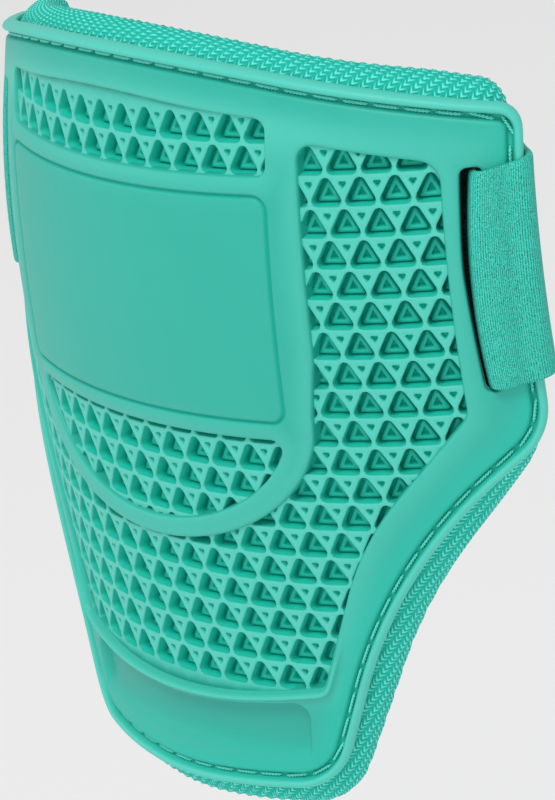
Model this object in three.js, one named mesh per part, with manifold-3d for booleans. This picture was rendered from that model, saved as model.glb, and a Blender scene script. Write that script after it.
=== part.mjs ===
// Batter's elbow guard: a moulded lattice shell, a padded backing and an elastic strap.
// Millimetres, +Z up along the arm, the guard's face towards -Y.
// Every piece is drawn flat as (u across, v up, d outwards) and then bent round the arm.
import * as THREE from 'three';
import { mergeGeometries, mergeVertices } from 'three/addons/utils/BufferGeometryUtils.js';
import Module from 'manifold-3d';

// Form of the bent face at four heights: radius round the arm and forward lean of the centre line
const PROFILE = [
  { v: 60, radius: 84.5, lean: 6.7 },
  { v: 0, radius: 94.2, lean: 0 },
  { v: -35, radius: 82, lean: -0.8 },
  { v: -70, radius: 64.6, lean: -2.4 },
];
const TWIST = THREE.MathUtils.degToRad(-0.0387); // turn of the section for each mm of height
const TWIST_AXIS = 23.4; // depth of the axis of that turn behind the face

// Depths from the smooth border of the shell, outwards positive
const BEAD_HEIGHT = 0.8;
const BEAD_WIDTH = 1.6;
const BEAD_SECTION = [[0.2, 0.75], [0.5, 1], [0.8, 0.75]]; // parts of its width and of its height
const SEAM_DEPTH = 0.9;
const SEAM_WIDTH = 1.5;
const SEAM_DRAFT = 0.2;
const RIM_BACK = -2;
const RIM_CHAMFER = 0.5;
const BED_BACK = -5;
const FIELD_DEPTH = 0.8;
const POCKET_FLOOR = -4;
const GAP = 0.4;

// Half outlines from the top centre down the right side: across, up, corner radius
const RIM = [[0, 64.7, 214], [79.2, 48.7, 4.5], [79.3, -4.9, 12], [49.9, -27.2, 95], [32.7, -70.2, 12]];
const BED = [[0, 57.5, 150], [67.4, 43.6, 4], [67.4, -1.2, 4], [45.5, -23.3, 60], [33.6, -52.5, 3],
  [0, -56.8, 150]];
const PAD = [[0, 66.8, 214], [77.4, 52.6, 9], [77.4, -8.8, 12], [52, -36, 95], [33.2, -76, 13]];
const TOP_WINDOW = [[0, 53, 150], [36.7, 49.2, 2], [36.4, 40.3, 0.6]];
const PLAQUE = [[36.4, 37.1, 2.5], [34.9, -1.3, 2.5]];
const FIELD_SIDE = [[41.8, 10, 30], [42.4, 45.6, 2], [65.9, 41.2, 4], [66.2, -0.6, 3], [44.4, -22.5, 60],
  [32.6, -50.2, 1.5], [0, -54.6, 150]];
const BASE_PLATE = [[0, -56.4, 150], [29.3, -53.2, 2.5], [28, -64.5, 2.5]];
const BASE_PLATE_DEPTH = 0.4;
const PLAQUE_LINE = { width: 0.7, depth: 0.6 };
const RIDGE_CREST = [[31.5, -50.9], [20, -52.6], [8, -53.9], [0, -54.2]];
const RIDGE = { width: 1.2, height: 0.5, root: -1 };

// The U-shaped rib under the plaque lies between two half ellipses about the flat origin
const RIB_OUTER = { across: 40, down: 25.5 };
const RIB_INNER = { across: 34.7, down: 21.8 };
const RIB_STEPS = 24;
const BOWL_TOP = -4.6;

// Lattice: equal-sided triangular cells, one pocket to a cell
const PITCH = 5.86;
const ROW_STEP = PITCH * Math.sqrt(3) / 2;
const LATTICE = { firstRow: -1, lastRow: 18, rowZero: 43.95 };
const POCKET = { apex: 0.2 * PITCH, base: -0.6 * PITCH, half: 0.46 * PITCH };

// Strap slot in each wing, and the band whose ends go round the bar outside it
const SLOT = { inner: 68.4, outer: 72.7, low: 3.4, high: 41.6, corner: 1.2 };
const BAND = { thickness: 1.8, low: 4, high: 41, bow: 13.5 };
// Corners of the loop round the bar, right side: across, outwards, corner radius
const EYE = [[77.5, -17, 1], [81.2, -2.5, 1.5], [81.2, 2.1, 2.2], [71.5, 2.1, 1.7], [71.5, -3.2, 3]];
const TAIL = { u: 77.2, d: -14.4 }; // where the single band leaves the loop

// Pad: rolled edge, a fuller middle towards the arm, and room for the strap behind each bar
const ROLL = 4;
const ROLL_TURNS = [-90, -60, -30, 0, 30, 60, 90];
const PAD_FRONT = RIM_BACK - GAP;
const PAD_FULLER = 3;
const SEAT = -PAD_FRONT + 2 * ROLL + PAD_FULLER; // depth of the arm seat behind the border
const SEAT_RINGS = [{ scale: 0.78, d: -SEAT }, { scale: 0.9, d: 0.4 * PAD_FULLER - SEAT }];
const NOTCH = { inner: 67, outer: 90, low: 1, high: 44, corner: 3 };

// Longest edges of the facets, across (x of the flat piece) and up (y)
const FACET = { x: 9, y: 28 };
const ARC_TURN = 0.5;
const SLIVER = 0.4;
const REACH = 90;
const SAME_PLACE = 1e-5; // vertices closer than this are one
const SAME_PLANE = 1e-4; // how far off a face's plane a corner may be and still lie in it
const LEAST_FACE = 1e-3; // twice the area of the smallest face that a turned edge may leave
const SAME_TURN = 1e-6;

const wasm = await Module();
wasm.setup();

// Cubic through the four rows of the profile
function profileAt(v, column) {
  return PROFILE.reduce((sum, row) => {
    const others = PROFILE.filter((other) => other !== row);
    const weight = others.reduce((product, other) => product * (v - other.v) / (row.v - other.v), 1);
    return sum + column(row) * weight;
  }, 0);
}

function bend(u, v, d) {
  const curve = profileAt(v, (row) => 1 / row.radius);
  const x = Math.sin(u * curve) * (1 / curve + d);
  const y = (1 - Math.cos(u * curve)) / curve - d * Math.cos(u * curve) - TWIST_AXIS;
  const cos = Math.cos(TWIST * v);
  const sin = Math.sin(TWIST * v);
  const lean = profileAt(v, (row) => row.lean);
  return new THREE.Vector3(cos * x - sin * y, sin * x + cos * y + TWIST_AXIS + lean - SEAT, v);
}

// Outlines

function mirrored(half) {
  const left = half.filter(([u]) => u > 0).map(([u, v, radius]) => [-u, v, radius]).reverse();
  return [...half, ...left];
}

function straight(from, to) {
  const across = Math.ceil(Math.abs(to.x - from.x) / FACET.x);
  const up = Math.ceil(Math.abs(to.y - from.y) / FACET.y);
  const count = Math.max(1, across, up);
  return Array.from({ length: count }, (_, i) => from.clone().lerp(to, i / count));
}

function cornerArc(here, before, after, radius) {
  if (!radius) return [here];
  const toBefore = before.clone().sub(here).normalize();
  const toAfter = after.clone().sub(here).normalize();
  const half = Math.acos(THREE.MathUtils.clamp(toBefore.dot(toAfter), -1, 1)) / 2;
  const centre = toBefore.clone().add(toAfter).setLength(radius / Math.sin(half)).add(here);
  const reach = radius / Math.tan(half);
  const start = toBefore.multiplyScalar(reach).add(here).sub(centre);
  const end = toAfter.multiplyScalar(reach).add(here).sub(centre);
  const sweep = (Math.PI - 2 * half) * Math.sign(start.cross(end));
  const turn = Math.abs(sweep);
  const steps = Math.max(2, Math.ceil(turn / ARC_TURN), Math.ceil(turn * radius / FACET.x));
  const origin = new THREE.Vector2();
  return Array.from({ length: steps + 1 }, (_, i) => start.clone()
    .rotateAround(origin, sweep * i / steps).add(centre));
}

function rounded(corners) {
  const places = corners.map(([u, v]) => new THREE.Vector2(u, v));
  const after = (i) => (i + 1) % corners.length;
  const arcs = places.map((place, i) => cornerArc(place, places.at(i - 1), places[after(i)], corners[i][2]));
  const points = arcs.flatMap((arc, i) => [...arc.slice(0, -1), ...straight(arc.at(-1), arcs[after(i)][0])]);
  return THREE.ShapeUtils.isClockWise(points) ? points.reverse() : points;
}

function roundedBox({ inner, outer, low, high, corner }, side) {
  const corners = [[inner, low], [outer, low], [outer, high], [inner, high]];
  return rounded(corners.map(([u, v]) => [side * u, v, corner]));
}

// The outline moved inwards; a sharp corner moves at most twice the distance
function inset(points, distance) {
  return points.map((point, i) => {
    const along = point.clone().sub(points.at(i - 1)).normalize();
    const after = points[(i + 1) % points.length].clone().sub(point).normalize();
    const inward = new THREE.Vector2(-along.y - after.y, along.x + after.x).normalize();
    const stretch = Math.max(0.5, inward.dot(new THREE.Vector2(-along.y, along.x)));
    return inward.multiplyScalar(distance / stretch).add(point);
  });
}

function halfEllipse({ across, down }, from) {
  const start = Math.asin(-from / down);
  return Array.from({ length: RIB_STEPS + 1 }, (_, i) => {
    const angle = start + (Math.PI - 2 * start) * i / RIB_STEPS;
    return new THREE.Vector2(across * Math.cos(angle), -down * Math.sin(angle));
  });
}

function inside(point, outline) {
  return outline.reduce((hit, a, i) => {
    const b = outline[(i + 1) % outline.length];
    const crosses = (a.y > point.y) !== (b.y > point.y)
      && point.x < a.x + (b.x - a.x) * (point.y - a.y) / (b.y - a.y);
    return crosses ? !hit : hit;
  }, false);
}

// Flat solids

function manifold(geometry) {
  geometry.deleteAttribute('normal');
  geometry.deleteAttribute('uv');
  const merged = mergeVertices(geometry, SAME_PLACE);
  return new wasm.Manifold(new wasm.Mesh({
    numProp: 3,
    vertProperties: new Float32Array(merged.attributes.position.array),
    triVerts: new Uint32Array(merged.index.array),
  }));
}

function prismGeometry(points, low, high, holes = []) {
  const shape = new THREE.Shape(points);
  shape.holes = holes.map((hole) => new THREE.Path(hole));
  const geometry = new THREE.ExtrudeGeometry(shape, { depth: high - low, bevelEnabled: false });
  return geometry.translate(0, 0, low);
}

function prism(points, low, high, holes) {
  return manifold(prismGeometry(points, low, high, holes));
}

// A closed skin through equal rings of [u, v, d], closed by flat faces at both ends
function loft(rings) {
  const count = rings[0].length;
  const index = [];
  for (let ring = 0; ring + 1 < rings.length; ring += 1) {
    for (let i = 0; i < count; i += 1) {
      const a = ring * count + i;
      const b = ring * count + (i + 1) % count;
      index.push(a, b, b + count, a, b + count, a + count);
    }
  }
  const flat = (ring) => THREE.ShapeUtils.triangulateShape(ring.map((p) => new THREE.Vector2(p.x, p.y)), []);
  const top = (rings.length - 1) * count;
  flat(rings[0]).forEach(([a, b, c]) => index.push(a, c, b));
  flat(rings.at(-1)).forEach(([a, b, c]) => index.push(top + a, top + b, top + c));
  const geometry = new THREE.BufferGeometry().setFromPoints(rings.flat());
  geometry.setIndex(index);
  return manifold(geometry);
}

function ringsOf(outline, section) {
  return section.map(([edge, d]) => inset(outline, edge).map((p) => new THREE.Vector3(p.x, p.y, d)));
}

// Bending

function meshOf(solid) {
  const mesh = solid.getMesh();
  const points = [];
  for (let i = 0; i < mesh.vertProperties.length; i += mesh.numProp) {
    points.push(new THREE.Vector3().fromArray(mesh.vertProperties, i));
  }
  const faces = [];
  for (let i = 0; i < mesh.triVerts.length; i += 3) {
    faces.push([...mesh.triVerts.slice(i, i + 3)]);
  }
  return { points, faces };
}

const edgeKey = (a, b) => (a < b ? `${a} ${b}` : `${b} ${a}`);

// Turns the shared edge of two faces in one plane where that makes both of them less thin
function evened({ points, faces }) {
  const side = (from, to) => points[to].clone().sub(points[from]);
  const normal = (a, b, c) => side(a, b).cross(side(a, c));
  const turns = (a, b, c, d) => {
    const facing = normal(a, b, c).normalize();
    const isFlat = Math.abs(side(a, d).dot(facing)) < SAME_PLANE;
    const made = [[b, a, d], [a, d, c], [d, b, c]];
    const stays = made.every((face) => normal(...face).dot(facing) > LEAST_FACE);
    const opposite = side(c, a).angleTo(side(c, b)) + side(d, a).angleTo(side(d, b));
    return isFlat && stays && opposite > Math.PI + SAME_TURN;
  };
  let changed = true;
  while (changed) {
    changed = false;
    const waiting = new Map();
    const used = new Set();
    faces.forEach((face, index) => face.forEach((a, i) => {
      const key = edgeKey(a, face[(i + 1) % 3]);
      if (!waiting.has(key)) {
        waiting.set(key, { index, a, b: face[(i + 1) % 3], c: face[(i + 2) % 3] });
        return;
      }
      const { index: other, a: from, b: to, c } = waiting.get(key);
      const d = face[(i + 2) % 3];
      if (used.has(index) || used.has(other) || !turns(from, to, c, d)) return;
      faces[other] = [from, d, c];
      faces[index] = [d, to, c];
      used.add(index).add(other);
      changed = true;
    }));
  }
  return { points, faces };
}

function splitFace(face, isMarked, divide) {
  const start = [0, 1, 2].find((i) => isMarked(face[i], face[(i + 1) % 3]));
  if (start === undefined) return [face];
  const [a, b, c] = [0, 1, 2].map((i) => face[(start + i) % 3]);
  const m = divide(a, b);
  const near = isMarked(b, c) ? [[m, b, divide(b, c)], [m, divide(b, c), c]] : [[m, b, c]];
  const far = isMarked(c, a) ? [[a, m, divide(c, a)], [m, c, divide(c, a)]] : [[a, m, c]];
  return [...near, ...far];
}

// Divides long edges where they cross even lines, so that the faces can follow the bend
function refined({ points, faces }) {
  let all = faces;
  for (const [axis, limit] of Object.entries(FACET)) {
    for (let line = -Math.ceil(REACH / limit) * limit; line <= REACH; line += limit) {
      const crosses = (a, b) => {
        const low = Math.min(points[a][axis], points[b][axis]);
        const high = Math.max(points[a][axis], points[b][axis]);
        return high - low > limit && low < line - SLIVER && high > line + SLIVER;
      };
      const divided = new Map();
      const divide = (a, b) => {
        const key = edgeKey(a, b);
        if (!divided.has(key)) {
          const part = (line - points[a][axis]) / (points[b][axis] - points[a][axis]);
          divided.set(key, points.push(points[a].clone().lerp(points[b], part)) - 1);
        }
        return divided.get(key);
      };
      all = all.flatMap((face) => splitFace(face, crosses, divide));
    }
  }
  return { points, faces: all };
}

function bentGeometry(solid, place) {
  const { points, faces } = refined(evened(meshOf(solid)));
  const geometry = new THREE.BufferGeometry().setFromPoints(points.map((p) => place(p.x, p.y, p.z)));
  geometry.setIndex(faces.flat());
  geometry.computeVertexNormals();
  return geometry;
}

// Shell

function rimSkin() {
  const seam = BEAD_WIDTH + SEAM_WIDTH;
  return loft(ringsOf(rounded(mirrored(RIM)), [
    [RIM_CHAMFER, RIM_BACK],
    [0, RIM_BACK + RIM_CHAMFER],
    [0, 0],
    ...BEAD_SECTION.map(([across, up]) => [across * BEAD_WIDTH, up * BEAD_HEIGHT]),
    [BEAD_WIDTH, 0],
    [BEAD_WIDTH + SEAM_DRAFT, -SEAM_DEPTH],
    [seam - SEAM_DRAFT, -SEAM_DEPTH],
    [seam, 0],
  ]));
}

function latticeWindows() {
  const rib = halfEllipse(RIB_OUTER, 0).map((p) => [p.x, p.y, 0]).reverse();
  return [
    rounded(mirrored(TOP_WINDOW)),
    halfEllipse(RIB_INNER, BOWL_TOP),
    rounded([...mirrored(FIELD_SIDE), ...rib]),
  ];
}

function pockets(windows) {
  const cells = [];
  const reach = Math.ceil(REACH / PITCH);
  for (let row = LATTICE.firstRow; row <= LATTICE.lastRow; row += 1) {
    const v = LATTICE.rowZero - row * ROW_STEP;
    const shift = row % 2 ? 0 : 0.5;
    for (let column = -reach; column <= reach; column += 1) {
      const u = (column + shift) * PITCH;
      const corners = [
        new THREE.Vector2(u, v + POCKET.apex),
        new THREE.Vector2(u - POCKET.half, v + POCKET.base),
        new THREE.Vector2(u + POCKET.half, v + POCKET.base),
      ];
      const middle = new THREE.Vector2(u, v + (POCKET.apex + 2 * POCKET.base) / 3);
      if (windows.some((outline) => inside(middle, outline))) {
        cells.push(prismGeometry(corners, POCKET_FLOOR, 0));
      }
    }
  }
  return manifold(mergeGeometries(cells));
}

function ridge() {
  const crest = mirrored(RIDGE_CREST.toReversed());
  const middle = RIDGE_CREST.length;
  const line = [...crest.slice(middle), ...crest.slice(0, middle)];
  const foot = line.map(([u, v]) => [u, v - RIDGE.width]).reverse();
  return prism([...line, ...foot].map(([u, v]) => new THREE.Vector2(u, v)), RIDGE.root, RIDGE.height);
}

function shellGeometry() {
  const windows = latticeWindows();
  const cutTo = (depth) => windows.map((outline) => prism(outline, depth, BEAD_HEIGHT));
  const openWindows = cutTo(POCKET_FLOOR).reduce((all, next) => all.add(next));
  const plaque = rounded(mirrored(PLAQUE));
  const line = PLAQUE_LINE.width / 2;
  const cuts = [
    ...cutTo(-FIELD_DEPTH),
    pockets(windows).intersect(openWindows),
    prism(inset(plaque, -line), -PLAQUE_LINE.depth, BEAD_HEIGHT, [inset(plaque, line)]),
    prism(rounded(mirrored(BASE_PLATE)), -BASE_PLATE_DEPTH, BEAD_HEIGHT),
    prism(roundedBox(SLOT, 1), -SEAT, SEAT),
    prism(roundedBox(SLOT, -1), -SEAT, SEAT),
  ];
  const bed = prism(rounded(mirrored(BED)), BED_BACK, RIM_BACK / 2);
  const solid = cuts.reduce((body, cut) => body.subtract(cut), rimSkin().add(bed));
  return bentGeometry(solid.add(ridge()), bend);
}

// Pad

function padGeometry() {
  const outline = rounded(mirrored(PAD));
  const roll = ROLL_TURNS.map((turn) => THREE.MathUtils.degToRad(turn)).map((turn) => [
    ROLL - ROLL * Math.cos(turn), PAD_FRONT - ROLL + ROLL * Math.sin(turn)]);
  const backs = SEAT_RINGS.map(({ scale, d }) => inset(outline, ROLL)
    .map((p) => new THREE.Vector3(p.x * scale, p.y * scale, d)));
  const skin = loft([...backs, ...ringsOf(outline, roll)]);
  const cuts = [
    prism(inset(rounded(mirrored(BED)), -GAP), BED_BACK - GAP, 0),
    prism(roundedBox(NOTCH, 1), -2 * SEAT, SEAT),
    prism(roundedBox(NOTCH, -1), -2 * SEAT, SEAT),
  ];
  return bentGeometry(cuts.reduce((body, cut) => body.subtract(cut), skin), bend);
}

// Strap

function standing(outline, holes) {
  return manifold(prismGeometry(outline, -BAND.high, -BAND.low, holes).rotateX(Math.PI / 2));
}

function eye(side) {
  const middle = rounded(EYE.map(([u, d, radius]) => [side * u, d, radius]));
  const half = BAND.thickness / 2;
  return manifold(bentGeometry(standing(inset(middle, -half), [inset(middle, half)]), bend));
}

// A place on the bowed stretch behind the arm, from one tail of the band to the other
function stretch(along, v, offset) {
  const right = bend(TAIL.u, v, TAIL.d);
  const left = bend(-TAIL.u, v, TAIL.d);
  const part = along / TAIL.u;
  const slope = -4 * part * BAND.bow / right.distanceTo(left);
  const forwards = new THREE.Vector3(slope, -1, 0).normalize();
  const bow = new THREE.Vector3(0, BAND.bow * (1 - part * part), 0);
  return left.lerp(right, (part + 1) / 2).add(bow).addScaledVector(forwards, offset);
}

function strapGeometry() {
  const half = BAND.thickness / 2;
  const flat = rounded([[-TAIL.u, -half, 0], [TAIL.u, -half, 0], [TAIL.u, half, 0], [-TAIL.u, half, 0]]);
  const back = manifold(bentGeometry(standing(flat), stretch));
  const { points, faces } = meshOf(back.add(eye(1)).add(eye(-1)));
  const geometry = new THREE.BufferGeometry().setFromPoints(points);
  geometry.setIndex(faces.flat());
  geometry.computeVertexNormals();
  return geometry;
}

function piece(name, geometry, material) {
  const mesh = new THREE.Mesh(geometry, new THREE.MeshStandardMaterial(material));
  mesh.name = name;
  return mesh;
}

const guard = new THREE.Group();
guard.add(
  piece('shell', shellGeometry(), { color: 0x46c3ae, roughness: 0.5, metalness: 0 }),
  piece('pad', padGeometry(), { color: 0x2fb59c, roughness: 0.85, metalness: 0 }),
  piece('strap', strapGeometry(), { color: 0x35b59f, roughness: 0.8, metalness: 0 }),
);

export default guard;
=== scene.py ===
"""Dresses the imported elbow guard: moulded lattice shell, seam stitches, knitted pad and elastic strap.

Every piece is drawn flat as (across, up, outwards) in millimetres and then bent round the arm.
"""

import math

import bpy
import numpy as np
from mathutils import Matrix, Vector
from mathutils.geometry import delaunay_2d_cdt
from mathutils.kdtree import KDTree


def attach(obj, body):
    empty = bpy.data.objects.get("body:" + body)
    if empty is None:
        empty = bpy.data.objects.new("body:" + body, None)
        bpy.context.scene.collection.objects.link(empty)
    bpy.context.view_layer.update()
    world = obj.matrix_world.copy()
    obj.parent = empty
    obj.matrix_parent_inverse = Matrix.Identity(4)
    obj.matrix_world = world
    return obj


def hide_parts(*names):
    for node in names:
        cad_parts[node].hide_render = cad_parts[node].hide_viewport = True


bl_info = {
    "name": "Elbow guard",
    "version": (1, 0, 0),
    "blender": (4, 5, 0),
    "location": "View3D > Sidebar > Elbow guard",
    "description": "Builds the lattice shell, stitches, knitted pad and elastic strap of an elbow guard",
    "category": "Object",
}

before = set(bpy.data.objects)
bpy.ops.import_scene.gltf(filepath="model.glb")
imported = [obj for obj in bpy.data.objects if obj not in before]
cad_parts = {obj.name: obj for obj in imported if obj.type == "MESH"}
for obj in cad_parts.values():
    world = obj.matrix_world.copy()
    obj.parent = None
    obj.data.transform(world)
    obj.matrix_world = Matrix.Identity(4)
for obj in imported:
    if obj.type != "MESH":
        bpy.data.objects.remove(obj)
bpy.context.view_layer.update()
BODY = "root"
MM = 0.001

# Form of the bent face at four heights: height, radius round the arm, lean of the centre line
PROFILE = np.array([(60, 84.5, 6.7), (0, 94.2, 0), (-35, 82, -0.8), (-70, 64.6, -2.4)])
TWIST = math.radians(-0.0387)  # turn of the section for each mm of height
TWIST_AXIS = 23.4
SEAT = 13.4  # depth of the arm seat behind the smooth border

# Half outlines from the top centre down the right side: across, up, corner radius
RIM = [(0, 63.4, 214), (79.2, 48.7, 4.5), (79.3, -4.9, 12), (49.9, -27.2, 95), (32.7, -69, 12), (0, -71, 120)]
BED = [(0, 57.5, 150), (67.4, 43.6, 4), (67.4, -1.2, 4), (45.5, -23.3, 60), (33.6, -52.5, 3), (0, -56.8, 150)]
PAD = [
    (0, 64.2, 214),
    (46, 56.6, 120),
    (64, 53.9, 40),
    (75.2, 51.4, 6),
    (77.4, 46.6, 2.5),
    (77.4, 44, 1.5),
    (70.7, 44, 2.5),
    (70.7, 1, 2.5),
    (77.4, 1, 1.5),
    (77.4, -8.8, 12),
    (52, -36, 95),
    (33.2, -74.4, 13),
    (0, -76, 120),
]
TOP_WINDOW = [(0, 53, 150), (36.7, 49.2, 2), (36.4, 40.3, 1.6)]
PLAQUE = [(36.4, 37.1, 2.5), (34.9, -1.3, 2.5)]
FIELD_SIDE = [
    (41.8, 10, 30),
    (42.4, 45.6, 2.4),
    (65.9, 41.2, 4),
    (66.2, -0.6, 3),
    (44.4, -22.5, 60),
    (32.6, -50.2, 1.8),
    (0, -54.6, 150),
]
BASE_PLATE = [(0, -56.2, 150), (29.5, -53, 2.6), (28, -65.2, 3)]
RIB_OUTER = (40, 25.5)  # half ellipses about the flat origin: across, down
RIB_INNER = (34.7, 21.8)
BOWL_TOP = -4.6
BOWL_CORNER = 1.6
BOWL_SKIP = 4  # steps of the curve that each rounded corner takes up
SLOT = [(69.8, 3.4, 1.2), (72.7, 3.4, 1.2), (72.7, 40.2, 1.2), (69, 40.2, 1.2), (68.5, 24, 60)]

# Sections: distance in from an outline and level above the smooth border
RIM_SECTION = [
    (1.2, -2), (0.5, -2), (0.15, -1.85), (0, -1.5), (0, -0.3), (0.1, 0.2), (0.35, 0.58), (0.8, 0.8),
    (1.22, 0.58), (1.45, 0.15), (1.54, -0.4), (1.66, -0.95), (1.9, -1.15), (2.25, -1.15), (2.5, -0.9),
    (2.66, -0.38), (2.88, -0.08), (3.3, 0),
]  # fmt: skip
# The same for a window, with its level where the lip runs along its lower edge
WINDOW_SECTION = [
    (-1.6, 0, 0), (-1.4, 0, 0.4), (-1.15, 0, 0.78), (-0.85, -0.01, 0.86), (-0.6, -0.06, 0.6),
    (-0.42, -0.14, 0.1), (-0.3, -0.22, -0.4), (-0.18, -0.34, -0.46), (-0.08, -0.5, -0.5),
    (-0.02, -0.68, -0.68), (0.02, -0.95, -0.95), (0.06, -1.4, -1.4), (0.1, -4.6, -4.6),
]  # fmt: skip
LINE_SECTION = [
    (-0.75, 0), (-0.45, -0.08), (-0.2, -0.44), (0, -0.55), (0.2, -0.44), (0.45, -0.08), (0.75, 0),
]  # fmt: skip
PLATE_SECTION = [(-0.3, 0), (-0.05, -0.12), (0.2, -0.55), (0.5, -1.1), (0.85, -1.35), (1.3, -1.4)]
SLOT_SECTION = [(-0.45, 0), (-0.15, -0.07), (0, -0.3), (0.05, -1), (0.05, -1.7), (-0.15, -2)]
LIP_RANGE = (-38, -48)  # the lip fades out between these heights
PLATE_RANGE = (-65, -60)  # the base plate's recess fades out between these heights
RIM_BACK = -2
BED_BACK = -5
FIELD_LEVEL = -0.8
LATTICE_BACK = -4.5
LATTICE_MARGIN = 0.9
PANEL_LIFT = 0.25
PANEL_RANGE = (-3.2, 39.2)
PANEL_EDGE = 0.7
PANEL_SIDES = (41.8, 40.6)  # the lift comes in between these distances from the centre line
BED_CHAMFER = 0.4
FACE_LEVEL = -1.5  # what lies higher belongs to the shell's face

# Steps along the shell's outlines, and spacing of the points that fill its faces
RIM_STEP = 1
EDGE_STEP = 0.8
SLOT_STEP = 0.6
SLOT_ARC_POINTS = 8
BORDER_SPACING = 1.3
PLAQUE_SPACING = 2
PLATE_SPACING = 1.5
PLATE_CLEAR = 0.8
WINDOW_SPACING = 4
BACK_SPACING = 3
BED_SPACING = 3.5
LEAST_AREA = 1e-5  # a patch with nothing wider than this is a sliver beside a straight edge

# Painted highlight and painted shade of the frame: strength, and the distances, levels or heights between
# which each comes in
TOP_HEIGHTS = (36, 52)
TOP_FROM_RIM = (3.4, 9)
GROOVE_SHADE_TINT = 0.35
GROOVE_FROM_RIM = (8, 2.6)
GROOVE_START = (1.3, 1.7)
LIP_HIGHLIGHT = 0.4
LIP_FROM_WINDOW = (5, 0.8)
LIP_LEVEL = -0.3
BEAD_FROM_RIM = (1.6, 1.2)
BEAD_LEVEL = -1.8
HIGHLIGHT_TINT = 0.8
HIGHLIGHT_LEVELS = (0.25, 0.75)
WALL_SHADE_DEPTHS = (1.4, 2.6)
INCISED_SHADE_TINT = 0.9
INCISED_DEPTHS = (0.05, 0.4)
INCISED_REACH = 0.7
INCISED_SHADE = 0.34
SUNK_DEPTHS = (0.4, 1.3)
SUNK_FROM_RIM = 3.2
SUNK_SHADE = 0.1

# Lattice: rows of equal-sided cells
ROW_ZERO = 43.95
ROWS = range(-2, 20)
OPEN_ROWS = range(-1, 19)
# One pocket, in pitches: its loops as base height, sharp apex height, half width, apex and base radius, depth
POCKET = [
    (-0.655, 0.4, 0.468, 0.202, 0.168, 0), (-0.637, 0.364, 0.45, 0.184, 0.15, 0.012),
    (-0.621, 0.332, 0.434, 0.168, 0.134, 0.052), (-0.611, 0.312, 0.424, 0.158, 0.125, 0.15),
    (-0.604, 0.298, 0.417, 0.151, 0.12, 0.44), (-0.596, 0.282, 0.409, 0.143, 0.113, 0.48),
    (-0.568, 0.085, 0.335, 0.05, 0.03, 0.48), (-0.56, 0.065, 0.325, 0.045, 0.03, 0.35),
    (-0.552, 0.05, 0.316, 0.04, 0.03, 0.32), (-0.452, -0.15, 0.143, 0.015, 0.015, 0.32),
    (-0.44, -0.175, 0.128, 0.012, 0.012, 0.35), (-0.42, -0.215, 0.105, 0.01, 0.01, 0.5),
]  # fmt: skip
RING_DEPTH = 0.32  # top of the raised ring in a pocket
# A dimple between two pockets: half side, corner radius, depth
DIMPLE = [(0.165, 0.045, 0), (0.145, 0.032, 0.012), (0.11, 0.025, 0.2)]
DIMPLE_MIDDLE = (0.5, -0.014)
CELL_EDGE = [
    (0.75, 0.203), (0.5, 0.203), (0.25, 0.203), (0, 0.203), (-0.25, 0.203), (-0.5, -0.3), (-0.5, -0.663),
    (-0.25, -0.663), (0, -0.663), (0.25, -0.663), (0.5, -0.663), (0.5, -0.3),
]  # fmt: skip
POCKET_LEAN = (36, 55, math.radians(10))  # the wings' pockets lean outwards: from, to, angle
MERGE_DISTANCE = 0.004
PRISM_TOP = 1
PRISM_GAP = 0.05  # how far the cutting solids stay above the lattice's back
# Painted shade and painted highlight of the lattice by depth in pitches, and rows over which the painted
# highlight on the ribs ends
POCKET_SHADE_DEPTHS = (0.02, 0.2)
RIB_HIGHLIGHT_DEPTHS = (0.06, 0)
POCKET_FLOOR_DEPTHS = (0.36, 0.46)
POCKET_FLOOR_SHADE = 0.32
RING_SHADE_TINT = 0.5
RING_SLACK = 0.01
FIRST_ROW_FADE = (-0.6, -0.1)
LAST_ROW_FADE = (0.9, 0.6)

# Seam groove that holds the stitches, and the thread's twist
SEAM_INSET = 2.08
SEAM_LEVEL = -0.7
THREAD_TURNS = 3.5
THREAD_STEPS = 18
THREAD_SIDES = 5
# Parts of the thread's width: dip of its ends, strand's distance from the middle, strand's radius
THREAD_DIP = 0.45
STRAND_ASIDE = 0.24
STRAND_RADIUS = 0.3
STRAND_TIP = 0.04  # least share of a strand's section, at its ends

# Pad: roll of its edge and the fuller middle towards the arm
ROLL = 4
PAD_FRONT = -2.4
PAD_FULLER = 3
PAD_FULL_AT = 24
BED_GAP = 0.4
ROLL_INSETS = (0.06, 0.22, 0.5, 0.9, 1.4)
PAD_STEP = 0.45
PAD_BED_STEP = 1.2
# Points of the pad's faces: spacing, distance clear of the edge, end of the fine or start of the wide ones
PAD_FINE = (1.2, 0.8, 6)
PAD_WIDE = (3.2, 1.6, 7)
# The cover is drawn down behind the slots: across, lower end, upper end and share of its height
HOLLOW_ACROSS = (64, 67.5)
HOLLOW_LOW = (-1, 2)
HOLLOW_HIGH = (46, 43)
HOLLOW_SHARE = 0.75
WALE_PITCH = 1.7  # distance between the raised lines of the pad's knit
WALE_HEIGHT = 0.16
# Bends of the knits' lines, as angles: by noise, and of the pad's loops over its raised lines
WALE_WANDER = 1.2
LOOP_WANDER = 4
LOOP_CHEVRON = 2.4
COLUMN_WANDER = 4
ROW_WANDER = 6
ROWS_PER_COLUMN = 1.2  # rows of the strap's loops in the width of one column

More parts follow.
